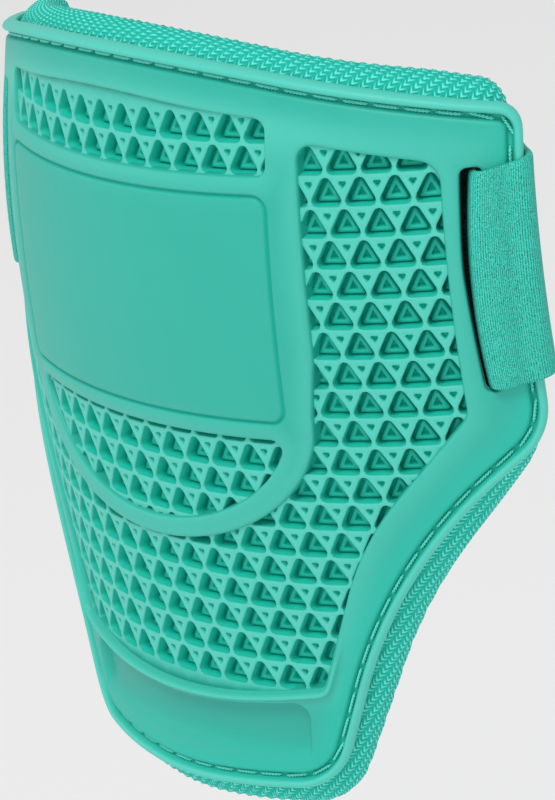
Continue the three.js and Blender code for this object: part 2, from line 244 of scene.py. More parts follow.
# Strap: loop round the bar, right side (across, outwards, corner radius), and the bowed band behind
EYE = [(77.5, -17, 0), (71.2, -3.2, 3), (70.4, 1.65, 2.8), (80.1, 1.65, 2.6), (80.1, -2.5, 1.5)]
TAIL = (77.2, -14.4)
BAND_LOW = 4
BAND_HIGH = 41
BAND_HALF = 0.65
BAND_BOW = 13.5
BAND_OVERLAP = 15
BAND_LEVELS = 24
OVERLAP_STEPS = 24
BEHIND_STEPS = 110
EYE_TRIM = 6  # steps left out at both ends of the loop
BAND_RISE = 1.4
BAND_DIP = (75, 2.2, 0.85)  # hollow between the turn and the bead: middle, half width, depth
BAND_DRAWN = 1.2  # how much narrower the band is where it turns round the bar
BAND_BULGE = 0.9  # how much further out the lower edge turns round the bar
LEG_BOW = 0.9  # how far the band leans over the slot's bowed edge at mid height
LAP_GAP = 0.1
LAP_SHORT = 4  # the sewn lap ends this far before the tail
BEHIND_SHORT = 3
EYE_STEP = 0.5
EYE_ARC_POINTS = 12
# Where on its loop each of these comes in: across and outwards
RISE_AT = ((72, 80), (-12, -1))
DRAWN_OUTWARDS = (-14, -3)
BULGE_ACROSS = (73, 80)
LEG_AT = ((75, 72), (-6, -1))
DIP_OUTWARDS = (0, 1.4)
# Painted shade of the slot that the band turns down into, and a faint painted shade on its turn
SLOT_SHADE = 0.92
SLOT_SHADE_AT = ((75, 73), (0.8, -0.5))
TURN_SHADE = (75.6, 1.1, 0.12)  # middle, half width, shade
TURN_SHADE_OUTWARDS = (0, 1)
# Rounded edge of the band: distance in from the edge and half thickness there
BAND_EDGE = [(0, 0.05), (0.05, 0.28), (0.17, 0.45), (0.4, 0.58), (0.8, 0.65)]

SHADOW = 0.1  # share of a colour that is left in full shade

# Camera of the photograph's view
CAMERA_AZIMUTH = math.radians(53.33)
CAMERA_ELEVATION = math.radians(20.65)
CAMERA_ROLL = -0.16264
CAMERA_DISTANCE = 0.59795
CAMERA_PIVOT = Vector((0, 0.01084, 0))
CAMERA_ASIDE = (0.0071, -0.00947)
FOCAL_PIXELS = 3465
IMAGE_HEIGHT = 800
SENSOR = 36
CLIP = (0.01, 20)
FLOOR_LEVEL = -0.25
FLOOR_HALF = 4
WORLD_STRENGTH = 0.52
# Round area lights, aimed at the origin: name, place, width, power
LIGHTS = [
    ("key", (1.8, -2.4, 5.4), 2.6, 182),
    ("fill", (-3.2, -2.2, 1.4), 2, 12),
    ("front", (1.8, -2.8, 0.4), 1.2, 8),
]


def linear(red, green, blue):
    """A display colour, from 0 to 255, as the linear colour that a shader takes."""
    parts = [c / 255 for c in (red, green, blue)]
    return tuple(c / 12.92 if c <= 0.04045 else ((c + 0.055) / 1.055) ** 2.4 for c in parts)


def colour(name, description, *display):
    return bpy.props.FloatVectorProperty(
        name=name, description=description, subtype="COLOR", size=3, min=0, max=1, default=linear(*display)
    )


def length(name, description, default):
    return bpy.props.FloatProperty(
        name=name, description=description, unit="LENGTH", min=0, precision=5, default=default
    )


class GuardSizes(bpy.types.PropertyGroup):
    """Sizes of the guard's surface detail."""

    cell_pitch: length("Cell pitch", "Distance between neighbouring pockets of the lattice", 0.00586)
    stitch_pitch: length("Stitch pitch", "Distance from one seam stitch to the next", 0.0052)
    stitch_length: length("Stitch length", "Length of thread that shows in one stitch", 0.0044)
    thread_width: length("Thread width", "Width of the twisted sewing thread", 0.0006)
    knit_pitch: length("Knit pitch", "Distance between the stacked loops of the pad's knit", 0.00095)
    elastic_pitch: length("Elastic pitch", "Distance between the columns of the strap's knit", 0.00034)


class GuardColours(bpy.types.PropertyGroup):
    """Colours of the guard, with its painted highlight and painted shade tone, and of the floor below it."""

    rubber: colour("Rubber", "Smooth moulded rubber", 44, 184, 166)
    # Painted highlight: paler rubber on the rib tops, the bead, the window lips and the top border
    rubber_highlight: colour("Pale rubber", "Rubber on the ribs and the bead", 82, 208, 191)
    # Painted shade tone: deeper, more saturated rubber in the pockets, grooves and window walls, and the
    # ground of the painted shade
    rubber_shade_tone: colour("Deep rubber", "Rubber in the pockets and grooves", 0, 210, 189)
    yarn: colour("Yarn", "Raised yarns of the pad's knit", 104, 252, 237)
    yarn_gap: colour("Yarn gaps", "Ground between the yarns of the pad", 0, 188, 167)
    elastic: colour("Elastic", "Raised loops of the strap", 70, 220, 200)
    elastic_gap: colour("Elastic gaps", "Ground between the loops of the strap", 0, 128, 112)
    thread: colour("Thread", "Sewing thread of the seam", 112, 255, 238)
    floor: colour("Floor", "Plain floor below the guard", 246, 246, 246)


# Bending


def profile_at(v, column):
    """Cubic through one column of the four rows of the profile."""
    total = np.zeros_like(v)
    for row in PROFILE:
        weight = np.ones_like(v)
        for other in PROFILE[PROFILE[:, 0] != row[0], 0]:
            weight = weight * (v - other) / (row[0] - other)
        total += weight * column(row)
    return total


def bend(flat):
    """Places on the guard, in metres, of flat points (across, up, outwards) in millimetres."""
    u, v, d = np.asarray(flat, float).T
    curve = profile_at(v, lambda row: 1 / row[1])
    x = np.sin(u * curve) * (1 / curve + d)
    y = (1 - np.cos(u * curve)) / curve - d * np.cos(u * curve) - TWIST_AXIS
    cos = np.cos(TWIST * v)
    sin = np.sin(TWIST * v)
    lean = profile_at(v, lambda row: row[2])
    return MM * np.column_stack((cos * x - sin * y, sin * x + cos * y + TWIST_AXIS + lean - SEAT, v))


def smooth(value, low, high):
    """0 at low, 1 at high and an even curve between them."""
    part = np.clip((np.asarray(value, float) - low) / (high - low), 0, 1)
    return part * part * (3 - 2 * part)


# Outlines


def mirrored(half):
    return [*half, *[(-u, v, radius) for u, v, radius in reversed(half) if u > 0]]


def unit(vector):
    return vector / np.linalg.norm(vector)


def corner_arc(here, before, after, radius, steps):
    """Points of the arc that rounds one corner."""
    back = unit(before - here)
    ahead = unit(after - here)
    half = math.acos(np.clip(back @ ahead, -1, 1)) / 2
    centre = here + unit(back + ahead) * radius / math.sin(half)
    start = here + back * radius / math.tan(half) - centre
    end = here + ahead * radius / math.tan(half) - centre
    sweep = math.copysign(math.pi - 2 * half, start[0] * end[1] - start[1] * end[0])
    turns = sweep * np.linspace(0, 1, steps)
    turned = np.column_stack((
        start[0] * np.cos(turns) - start[1] * np.sin(turns),
        start[0] * np.sin(turns) + start[1] * np.cos(turns),
    ))
    return centre + turned


def rounded(corners, arc_points=24):
    """The closed outline through corners: across, up, radius and, if not the usual, the arc's points."""
    places = np.array([corner[:2] for corner in corners], float)
    arcs = []
    for i, (_, _, radius, *own_points) in enumerate(corners):
        if radius:
            after = places[(i + 1) % len(places)]
            steps = own_points[0] if own_points else arc_points
            arcs.append(corner_arc(places[i], places[i - 1], after, radius, steps))
        else:
            arcs.append(places[i : i + 1])
    return np.vstack(arcs)


def lengths_along(line):
    return np.concatenate(([0], np.cumsum(np.linalg.norm(np.diff(line, axis=0), axis=1))))


def spaced(line, step, with_end):
    """The line again at even steps, with or without its last point."""
    along = lengths_along(line)
    places = np.linspace(0, along[-1], max(3, round(along[-1] / step)), endpoint=with_end)
    return np.column_stack([np.interp(places, along, line[:, axis]) for axis in (0, 1)])


def even(line, step):
    """The closed line again at even steps, anticlockwise."""
    points = spaced(np.vstack((line, line[:1])), step, False)
    after = np.roll(points, -1, 0)
    area = np.sum(points[:, 0] * after[:, 1] - points[:, 1] * after[:, 0])
    return points if area > 0 else points[::-1]


def inward(line):
    """Unit vectors into a closed anticlockwise line."""
    along = np.roll(line, -1, 0) - np.roll(line, 1, 0)
    along = along / np.linalg.norm(along, axis=1, keepdims=True)
    return np.column_stack((-along[:, 1], along[:, 0]))


def inset(line, distance):
    return line + inward(line) * distance


def half_ellipse(size, top, steps=96):
    start = math.asin(-top / size[1])
    turns = np.linspace(start, math.pi - start, steps)
    return np.column_stack((size[0] * np.cos(turns), -size[1] * np.sin(turns)))


def window_lines(step):
    """Outlines of the three lattice windows: above the plaque, in the bowl and round the field."""
    curve = half_ellipse(RIB_INNER, BOWL_TOP)
    ends = [(*curve[i], BOWL_CORNER) for i in (0, -1)]
    bowl = [ends[0], *[(*place, 0) for place in curve[BOWL_SKIP:-BOWL_SKIP]], ends[1]]
    rib = [(*place, 0) for place in half_ellipse(RIB_OUTER, 0)[::-1]]
    return [
        even(rounded(mirrored(TOP_WINDOW)), step),
        even(rounded(bowl), step),
        even(rounded([*mirrored(FIELD_SIDE), *rib]), step),
    ]


def crossed(points, a, b):
    """Whether an odd number of the edges from a to b lies to the right of each point."""
    x, y = points.T[:, :, None]
    crosses = (a[:, 1] > y) != (b[:, 1] > y)
    rise = np.where(b[:, 1] == a[:, 1], 1, b[:, 1] - a[:, 1])
    hits = crosses & (x < a[:, 0] + (b[:, 0] - a[:, 0]) * (y - a[:, 1]) / rise)
    return hits.sum(1) % 2 == 1


def inside(points, loops, block=1000):
    """Whether each point lies within an odd number of the closed lines."""
    a = np.vstack(loops)
    b = np.vstack([np.roll(loop, -1, 0) for loop in loops])
    found = [crossed(points[start : start + block], a, b) for start in range(0, len(points), block)]
    return np.concatenate(found) if found else np.zeros(0, bool)


def nearest_on(line, points):
    """The number of the line's nearest point and the distance to it, for each flat point."""
    tree = KDTree(len(line))
    for i, place in enumerate(line):
        tree.insert((*place, 0), i)
    tree.balance()
    found = [tree.find((*place, 0)) for place in points]
    return np.array([number for _, number, _ in found], int), np.array([distance for _, _, distance in found])


def distance_to(line, points):
    return nearest_on(line, points)[1]


def seeds(loops, spacing, clear):
    """Evenly spread points between closed lines, at least a clear distance from them."""
    ends = np.vstack(loops)
    low = ends.min(0)
    high = ends.max(0)
    columns = np.arange(low[0], high[0], spacing)
    rows = []
    for i, v in enumerate(np.arange(low[1], high[1], spacing * math.sqrt(3) / 2)):
        across = columns + spacing / 2 * (i % 2)
        rows.append(np.column_stack((across, np.full(len(columns), v))))
    grid = np.vstack(rows)
    grid = grid[inside(grid, loops)]
    return grid[distance_to(ends, grid) > clear]


# Meshes


def patch_numbers(triangles, edges):
    """A number for each triangle, the same for those that no given edge keeps apart."""
    walls = {tuple(sorted(edge)) for edge in edges}
    beside = {}
    for number, corners in enumerate(triangles.tolist()):
        for i in range(3):
            edge = tuple(sorted((corners[i - 1], corners[i])))
            if edge not in walls:
                beside.setdefault(edge, []).append(number)
    links = [[] for _ in triangles]
    for pair in beside.values():
        if len(pair) == 2:
            links[pair[0]].append(pair[1])
            links[pair[1]].append(pair[0])
    patch = np.full(len(triangles), -1)
    for first in range(len(triangles)):
        waiting = [first] if patch[first] < 0 else []
        while waiting:
            here = waiting.pop()
            if patch[here] < 0:
                patch[here] = first
                waiting += links[here]
    return patch


def triangulated(flat, edges):
    """Triangles within closed lines of edges but not in their holes, as numbers of the flat points."""
    made = delaunay_2d_cdt([Vector(place) for place in flat], edges, [], 0, 1e-6)
    source = np.array([origin[0] for origin in made[3]])
    triangles = source[np.array(made[2])]
    patch = patch_numbers(triangles, edges)
    sides = flat[triangles[:, 1:]] - flat[triangles[:, :1]]
    area = np.abs(sides[:, 0, 0] * sides[:, 1, 1] - sides[:, 0, 1] * sides[:, 1, 0])
    ends = flat[np.array(edges)]
    kept = np.zeros(len(triangles), bool)
    for number in np.unique(patch):
        members = np.flatnonzero(patch == number)
        widest = members[np.argmax(area[members])]
        middle = flat[triangles[widest]].mean(0)[None]
        kept[members] = area[widest] > LEAST_AREA and crossed(middle, ends[:, 0], ends[:, 1])[0]
    return triangles[kept]


class FlatMesh:
    """Flat points (across, up, outwards) and the faces between them, before they are bent."""

    def __init__(self):
        self.points = np.zeros((0, 3))
        self.faces = []

    def add(self, line, level):
        """Adds points at a level and gives their numbers."""
        first = len(self.points)
        levels = np.broadcast_to(level, len(line))
        self.points = np.vstack((self.points, np.column_stack((line, levels))))
        return np.arange(first, len(self.points))

    def band(self, ring, after):
        """Faces between two closed rings with as many points, outer or lower ring first."""
        self.faces += np.column_stack((ring, np.roll(ring, -1), np.roll(after, -1), after)).tolist()

    def stack(self, lines, levels):
        """Rings on closed lines at their levels, banded together; gives the first and the last."""
        made = [self.add(line, level) for line, level in zip(lines, levels)]
        for ring, after in zip(made, made[1:]):
            self.band(ring, after)
        return made[0], made[-1]

    def rings(self, line, section):
        """Rings round a line at each (inset, level) of a section; gives the first and the last."""
        return self.stack([inset(line, distance) for distance, _ in section], [level for _, level in section])

    def fill(self, rings, extra, level, turned=False):
        """Triangles between closed rings that are there already, through extra points at a level."""
        known = np.concatenate(rings)
        numbers = np.concatenate((known, self.add(extra, level)))
        flat = self.points[numbers, :2]
        edges = []
        first = 0
        for ring in rings:
            places = np.arange(first, first + len(ring))
            edges += np.column_stack((places, np.roll(places, -1))).tolist()
            first += len(ring)
        triangles = triangulated(flat, edges)
        if turned:
            triangles = triangles[:, ::-1]
        self.faces += numbers[triangles].tolist()


def mesh_object(name, places, faces, material=None, attributes=None):
    """A smooth mesh object at the origin, with numbers for each vertex in named attributes."""
    mesh = bpy.data.meshes.new(name)
    mesh.from_pydata(np.asarray(places).tolist(), [], faces)
    for key, values in (attributes or {}).items():
        mesh.attributes.new(key, "FLOAT", "POINT").data.foreach_set("value", np.asarray(values, np.float32))
    mesh.shade_smooth()
    mesh.update()
    if material:
        mesh.materials.append(material)
    obj = bpy.data.objects.new(name, mesh)
    bpy.context.scene.collection.objects.link(obj)
    return obj


def add_uv(obj, uv):
    """A UV map from one place for each vertex, in millimetres."""
    layer = obj.data.uv_layers.new(name="cloth")
    corners = np.zeros(len(obj.data.loops), np.int32)
    obj.data.loops.foreach_get("vertex_index", corners)
    layer.data.foreach_set("uv", np.asarray(uv, np.float32)[corners].ravel())


def finished(piece, slot, *nodes):
    """Puts a piece on the guard's body in place of the named solids, which it hides. The slot is not used."""
    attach(piece, BODY)
    if nodes:
        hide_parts(*nodes)
    return piece


# Node trees


class Value:
    """A socket of a node tree, on which Python's operators add Math nodes."""

    def __init__(self, nodes, socket):
        self.nodes = nodes
        self.socket = socket

    def maths(self, operation, *values):
        return self.nodes.node("ShaderNodeMath", {"operation": operation}, dict(enumerate(values)))

    def __add__(self, other):
        return self.maths("ADD", self, other)

    def __radd__(self, other):
        return self.maths("ADD", other, self)

    def __sub__(self, other):
        return self.maths("SUBTRACT", self, other)

    def __rsub__(self, other):
        return self.maths("SUBTRACT", other, self)

    def __mul__(self, other):
        return self.maths("MULTIPLY", self, other)

    def __rmul__(self, other):
        return self.maths("MULTIPLY", other, self)

    def cosine(self):
        return self.maths("COSINE", self)

    def between(self, low, high):
        """0 below low, 1 above high and a smooth step between them."""
        sockets = {0: self, 1: low, 2: high}
        settings = {"interpolation_type": "SMOOTHSTEP"}
        return self.nodes.node("ShaderNodeMapRange", settings, sockets)


class Nodes:
    """A node tree that is built up by adding nodes."""

    def __init__(self, tree):
        self.tree = tree
        self.tree.nodes.clear()

    def node(self, kind, settings=None, sockets=None, output=0):
        """Adds a node of a kind, sets it up, feeds its sockets and gives one of its outputs."""
        made = self.tree.nodes.new(kind)
        for key, setting in (settings or {}).items():
            setattr(made, key, setting)
        for key, value in (sockets or {}).items():
            taker = self.pick(made.inputs, key)
            if isinstance(value, Value):
                self.tree.links.new(value.socket, taker)
            else:
                taker.default_value = value
        return Value(self, self.pick(made.outputs, output)) if made.outputs else None

    def pick(self, sockets, key):
        """A socket by its number, or by the identifier or name of one that is in use."""
        if isinstance(key, int):
            return sockets[key]
        in_use = [socket for socket in sockets if socket.enabled]
        return next(socket for socket in in_use if key in (socket.identifier, socket.name))


def paint(tone, share=1):
    """A colour, or a share of it, as a shader's socket takes it."""
    return (*[part * share for part in tone], 1)


class Finish(Nodes):
    """A material whose one shader is fed by nodes."""

    def __init__(self, name):
        self.material = bpy.data.materials.new(name)
        self.material.use_nodes = True
        super().__init__(self.material.node_tree)

    def place(self):
        return self.node("ShaderNodeTexCoord", output="Object")

    def noise(self, scale, detail=2):
        sockets = {"Vector": self.place(), "Scale": scale, "Detail": detail}
        return self.node("ShaderNodeTexNoise", {"noise_dimensions": "3D"}, sockets)

    def mix(self, factor, first, second):
        sockets = {"Factor_Float": factor, "A_Color": first, "B_Color": second}
        return self.node("ShaderNodeMix", {"data_type": "RGBA"}, sockets, "Result_Color")

    def bump(self, height, depth, strength):
        return self.node("ShaderNodeBump", None, {"Height": height, "Distance": depth, "Strength": strength})

    def attribute(self, name):
        return self.node("ShaderNodeAttribute", {"attribute_name": name}, output="Fac")

    def shaded(self, tone, ground):
        """A tone that goes over into the dark of its ground in slots, cut lines and pocket floors."""
        return self.mix(self.attribute("shade"), tone, paint(ground, SHADOW))

    def cloth(self):
        """Across and up on the cloth's own map, in millimetres."""
        place = self.node("ShaderNodeUVMap", {"uv_map": "cloth"})
        x = self.node("ShaderNodeSeparateXYZ", None, {0: place})
        return x, Value(self, x.socket.node.outputs["Y"])

    def shade(self, sockets):
        """The one shader, with its constants and varying sockets."""
        shader = self.node("ShaderNodeBsdfPrincipled", None, sockets)
        self.node("ShaderNodeOutputMaterial", None, {"Surface": shader})
        return self.material


class Shapes(Nodes):
    """A geometry tree with named inputs, run once on an object's mesh."""

    def __init__(self, name, inputs):
        tree = bpy.data.node_groups.new(name, "GeometryNodeTree")
        super().__init__(tree)
        tree.interface.new_socket("Geometry", in_out="OUTPUT", socket_type="NodeSocketGeometry")
        tree.interface.new_socket("Geometry", in_out="INPUT", socket_type="NodeSocketGeometry")
        for key, kind in inputs.items():
            tree.interface.new_socket(key, in_out="INPUT", socket_type=f"NodeSocket{kind}")
        self.group = tree.nodes.new("NodeGroupInput")

    def input(self, key):
        return Value(self, self.group.outputs[key])

    def end(self, geometry):
        """Makes the instances real, joins equal points and gives them their finish."""
        real = self.node("GeometryNodeRealizeInstances", None, {"Geometry": geometry})
        sockets = {"Geometry": real, "Distance": MERGE_DISTANCE}
        joined = self.node("GeometryNodeMergeByDistance", None, sockets)
        sockets = {"Geometry": joined, "Material": self.input("Finish")}
        done = self.node("GeometryNodeSetMaterial", None, sockets)
        self.node("NodeGroupOutput", None, {"Geometry": done})

    def run(self, obj, values):
        """The plain mesh that the tree makes of an object, which is then removed."""
        modifier = obj.modifiers.new(self.tree.name, "NODES")
        modifier.node_group = self.tree
        for item in self.tree.interface.items_tree:
            if item.in_out == "INPUT" and item.name in values:
                modifier[item.identifier] = values[item.name]
        return evaluated(obj, modifier)


def evaluated(obj, modifier):
    """The plain mesh that a modifier makes of an object; both are removed."""
    view = bpy.context.evaluated_depsgraph_get()
    mesh = bpy.data.meshes.new_from_object(obj.evaluated_get(view))
    obj.modifiers.remove(modifier)
    bpy.data.objects.remove(obj)
    return mesh


# Finishes


def rubber_finish(colours):
    """Satin moulded rubber, with a painted shade tone in the pockets and grooves and a painted highlight on
    the ribs, bead and lips.
    """
    look = Finish("moulded_rubber")
    painted_shade_tone = look.attribute("painted_shade_tone")
    clouds = look.noise(scale=38, detail=3)
    grain = look.noise(scale=2600)
    cloudy = clouds.between(0.3, 0.7) * 0.35
    plain = look.mix(cloudy, paint(colours.rubber), paint(colours.rubber, 0.93))
    # Painted highlight on the rib tops, the bead, the window lips and the top border
    highlighted = look.mix(look.attribute("painted_highlight"), plain, paint(colours.rubber_highlight))
    # Painted shade tone in the pockets, grooves, cut lines and window walls
    tone = look.mix(painted_shade_tone, highlighted, paint(colours.rubber_shade_tone))
    return look.shade({
        "Base Color": look.shaded(tone, colours.rubber_shade_tone),
        "Roughness": 0.42 + 0.1 * grain + 0.3 * painted_shade_tone,
        "Normal": look.bump(grain, depth=0.00002, strength=0.35),
        "Specular IOR Level": 0.4,
    })


def knit_finish(colours, sizes):
    """Coarse diagonal knit: loops of yarn stacked along raised slanting lines, on the cloth's own map."""
    look = Finish("pad_knit")
    x, y = look.cloth()
    wander = look.noise(scale=420)
    turn = 2 * math.pi / math.sqrt(2)
    aside = (x - y) * turn
    along = (x + y) * turn
    wale = (aside * (1 / WALE_PITCH) + wander * WALE_WANDER).cosine()
    loops = (along * (MM / sizes.knit_pitch) + wander * LOOP_WANDER + wale * LOOP_CHEVRON).cosine()
    raised = 0.6 + 0.4 * wale
    fleck = raised * (0.5 + 0.5 * loops)
    tone = look.mix(fleck.between(0.12, 0.62), paint(colours.yarn_gap), paint(colours.yarn))
    return look.shade({
        "Base Color": look.shaded(tone, colours.yarn_gap),
        "Roughness": 0.7 - 0.2 * fleck,
        "Normal": look.bump(fleck, depth=0.00035, strength=0.8),
        "Specular IOR Level": 0.3,
    })


def elastic_finish(colours, sizes):
    """Fine knitted elastic: columns of small loops across the band."""
    look = Finish("strap_elastic")
    x, y = look.cloth()
    turn = 2 * math.pi / (sizes.elastic_pitch / MM)
    wander = look.noise(scale=300)
    grain = look.noise(scale=4600)
    column = (x * turn + wander * COLUMN_WANDER).cosine()
    loops = (y * (turn * ROWS_PER_COLUMN) + wander * ROW_WANDER).cosine()
    raised = 0.15 * column + 0.15 * loops * column + grain
    tone = look.mix(raised.between(0.25, 0.68), paint(colours.elastic_gap), paint(colours.elastic))
    return look.shade({
        "Base Color": look.shaded(tone, colours.elastic_gap),
        "Roughness": 0.66 - 0.12 * raised,
        "Normal": look.bump(raised, depth=0.00008, strength=0.6),
        "Specular IOR Level": 0.3,
    })


def thread_finish(colours):
    """Glossy twisted thread."""
    look = Finish("seam_thread")
    fibre = look.noise(scale=5200)
    tone = look.mix(fibre, paint(colours.thread, 0.6), paint(colours.thread))
    return look.shade({
        "Base Color": tone,
        "Roughness": 0.38 + 0.2 * fibre,
        "Normal": look.bump(fibre, depth=0.00003, strength=0.5),
        "Specular IOR Level": 0.5,
    })


def floor_finish(colours):
    """Plain pale paper."""
    look = Finish("pale_floor")
    paper = look.noise(scale=6)
    tone = look.mix(paper * 0.3, paint(colours.floor), paint(colours.floor, 0.985))
    return look.shade({"Base Color": tone, "Roughness": 0.8 + 0.1 * paper, "Specular IOR Level": 0.2})


# Shell


def panel_level(line):
    """The middle panel stands a little above the border round it."""
    low, high = PANEL_RANGE
    rise = smooth(line[:, 1], low - PANEL_EDGE, low + PANEL_EDGE)
    fall = smooth(line[:, 1], high + PANEL_EDGE, high - PANEL_EDGE)
    within = smooth(np.abs(line[:, 0]), *PANEL_SIDES)
    return PANEL_LIFT * rise * fall * within


def window_rings(flat, line):
    """Soft edge and wall of one window; the lowest edge of the field carries the lip."""
    lip = smooth(line[:, 1], *LIP_RANGE)
    section = [(distance, plain + (raised - plain) * lip) for distance, plain, raised in WINDOW_SECTION]
    return flat.rings(line, section)


def slot_line(side):
    """Outline of the slot in the right (1) or the left (-1) wing."""
    corners = [(side * u, v, radius) for u, v, radius in SLOT]
    return even(rounded(corners, SLOT_ARC_POINTS), SLOT_STEP)


def frame_tints(points, rim, windows, plaque):
    """How much painted shade tone, painted highlight and painted shade each place of the frame takes, before
    its panel is lifted.
    """
    places = points[:, :2]
    level = points[:, 2]
    on_face = level > FACE_LEVEL
    from_rim = distance_to(rim, places)
    from_window = np.min([distance_to(line, places) for line in windows], axis=0)
    # Painted highlight along the top border, where the groove's painted shade tone fades out
    top = smooth(places[:, 1], *TOP_HEIGHTS)
    # Painted shade tone in the groove beside the rim
    beside_rim = smooth(from_rim, *GROOVE_FROM_RIM) * smooth(from_rim, *GROOVE_START)
    groove = GROOVE_SHADE_TINT * (1 - top) * beside_rim * on_face
    # Painted highlight on the lips round the windows and along the top border
    beside_window = LIP_HIGHLIGHT * smooth(from_window, *LIP_FROM_WINDOW)
    lip = np.maximum(beside_window, top * smooth(from_rim, *TOP_FROM_RIM)) * (level > LIP_LEVEL)
    # Painted highlight on the bead
    bead = smooth(from_rim, *BEAD_FROM_RIM) * (level > BEAD_LEVEL)
    sunk = smooth(-level, *SUNK_DEPTHS) * on_face * (from_rim > SUNK_FROM_RIM)
    # Painted shade tone and painted shade in the cut line round the plaque
    incised = smooth(-level, *INCISED_DEPTHS) * (distance_to(plaque, places) < INCISED_REACH)
    return {
        # Painted shade tone in the window walls, the groove and the cut line
        "painted_shade_tone": np.max([smooth(-level, *WALL_SHADE_DEPTHS), groove, INCISED_SHADE_TINT * incised], axis=0),
        # Painted highlight on raised places, the lips, the top border and the bead
        "painted_highlight": np.max([HIGHLIGHT_TINT * smooth(level, *HIGHLIGHT_LEVELS), lip, bead], axis=0),
        "shade": np.maximum(INCISED_SHADE * incised, SUNK_SHADE * sunk),
    }


def shell_frame(finish):
    """The smooth border, plaque, rib and base of the shell, with open windows and slots."""
    flat = FlatMesh()
    rim = even(rounded(mirrored(RIM)), RIM_STEP)
    windows = window_lines(EDGE_STEP)
    plaque = even(rounded(mirrored(PLAQUE)), EDGE_STEP)
    plate = even(rounded(mirrored(BASE_PLATE)), EDGE_STEP)
    back, front = flat.rings(rim, RIM_SECTION)
    walls = [window_rings(flat, line) for line in windows]
    line_outer, line_inner = flat.rings(plaque, LINE_SECTION)
    fade = smooth(plate[:, 1], *PLATE_RANGE)
    section = [(distance, level * fade) for distance, level in PLATE_SECTION]
    plate_outer, plate_inner = flat.rings(plate, section)
    slot_rings = [flat.rings(slot_line(side), SLOT_SECTION) for side in (1, -1)]

    def fill(rings, spacing, level, turned=False):
        loops = [flat.points[ring, :2] for ring in rings]
        flat.fill(rings, seeds(loops, spacing, 0.5 * spacing), level, turned)

    holes = [outer for outer, _ in (*walls, *slot_rings)]
    fill([front, line_outer, plate_outer, *holes], BORDER_SPACING, 0)
    fill([line_inner], PLAQUE_SPACING, 0)
    inner = seeds([flat.points[plate_inner, :2]], PLATE_SPACING, PLATE_CLEAR)
    flat.fill([plate_inner], inner, PLATE_SECTION[-1][1] * smooth(inner[:, 1], *PLATE_RANGE))
    for _, low in walls:
        fill([low], WINDOW_SPACING, WINDOW_SECTION[-1][1])
    bed = even(rounded(mirrored(BED)), RIM_STEP)
    bed_section = [(BED_CHAMFER, BED_BACK), (0, BED_BACK + BED_CHAMFER), (0, RIM_BACK)]
    bed_back, bed_front = flat.rings(bed, bed_section)
    fill([back, bed_front, *[low for _, low in slot_rings]], BACK_SPACING, RIM_BACK, True)
    fill([bed_back], BED_SPACING, BED_BACK, True)
    tints = frame_tints(flat.points, rim, windows, plaque)
    raised = flat.points[:, 2] > FACE_LEVEL
    flat.points[raised, 2] += panel_level(flat.points[raised, :2])
    return mesh_object("shell_frame", bend(flat.points), flat.faces, finish, tints)


def arch(base, apex, half, apex_radius, base_radius, shoulder_softer=1.2):
    """A triangle with upright lower sides and rounded corners, anticlockwise from its apex."""
    shoulder = apex - half * math.sqrt(3)
    corners = [
        (0, apex, apex_radius, 5),
        (-half, shoulder, shoulder_softer * base_radius, 2),
        (-half, base, base_radius, 3),
        (half, base, base_radius, 3),
        (half, shoulder, shoulder_softer * base_radius, 2),
    ]
    return rounded(corners)


def dimple(half, radius):
    """A rounded triangle that points down, anticlockwise."""
    tall = half * math.sqrt(3)
    corners = [(0, -tall * 2 / 3, radius, 2), (half, tall / 3, radius, 2), (-half, tall / 3, radius, 2)]
    return rounded(corners) + DIMPLE_MIDDLE


def pressed(flat, lines, depths):
    """Rings of a moulded hollow and the face that closes it; gives the outermost ring."""
    outermost, last = flat.stack(lines, [-depth for depth in depths])
    flat.faces.append(last.tolist())
    return outermost


def cell_object(name, is_open):
    """One cell of the lattice, in pitches: ribs round a pocket and a dimple, or a plain face."""
    flat = FlatMesh()
    edge = flat.add(np.array(CELL_EDGE), 0)
    holes = []
    if is_open:
        pocket = pressed(flat, [arch(*loop[:5]) for loop in POCKET], [loop[5] for loop in POCKET])
        small = pressed(flat, [dimple(*loop[:2]) for loop in DIMPLE], [loop[2] for loop in DIMPLE])
        holes = [pocket, small]
    flat.fill([edge, *holes], np.zeros((0, 2)), 0)
    return mesh_object(name, flat.points, flat.faces)


def cell_places(pitch):
    """Places of the cells in a patch that covers all the windows, and whether each is open."""
    places = []
    reach = math.ceil(BED[1][0] / pitch)
    for row in ROWS:
        shift = 0 if row % 2 else 0.5
        height = ROW_ZERO - row * pitch * math.sqrt(3) / 2
        for column in range(-reach, reach + 1):
            places.append(((column + shift) * pitch, height, row in OPEN_ROWS))
    return np.array(places)


def lattice_tree():
    """Open and plain cells on the points of a patch, scaled to the pitch."""
    inputs = {"Cell": "Object", "Plain cell": "Object", "Pitch": "Float", "Finish": "Material"}
    tree = Shapes("lattice_cells", inputs)
    is_open = tree.node("GeometryNodeInputNamedAttribute", {"data_type": "BOOLEAN"}, {"Name": "open"})
    plain = tree.node("FunctionNodeBooleanMath", {"operation": "NOT"}, {0: is_open})
    joined = tree.node("GeometryNodeJoinGeometry")
    for key, chosen in (("Cell", is_open), ("Plain cell", plain)):
        shape = tree.node("GeometryNodeObjectInfo", None, {"Object": tree.input(key)}, "Geometry")
        sockets = {
            "Points": tree.input("Geometry"),
            "Selection": chosen,
            "Instance": shape,
            "Scale": tree.input("Pitch"),
        }
        copies = tree.node("GeometryNodeInstanceOnPoints", None, sockets)
        tree.tree.links.new(copies.socket, joined.socket.node.inputs[0])
    tree.end(joined)
    return tree


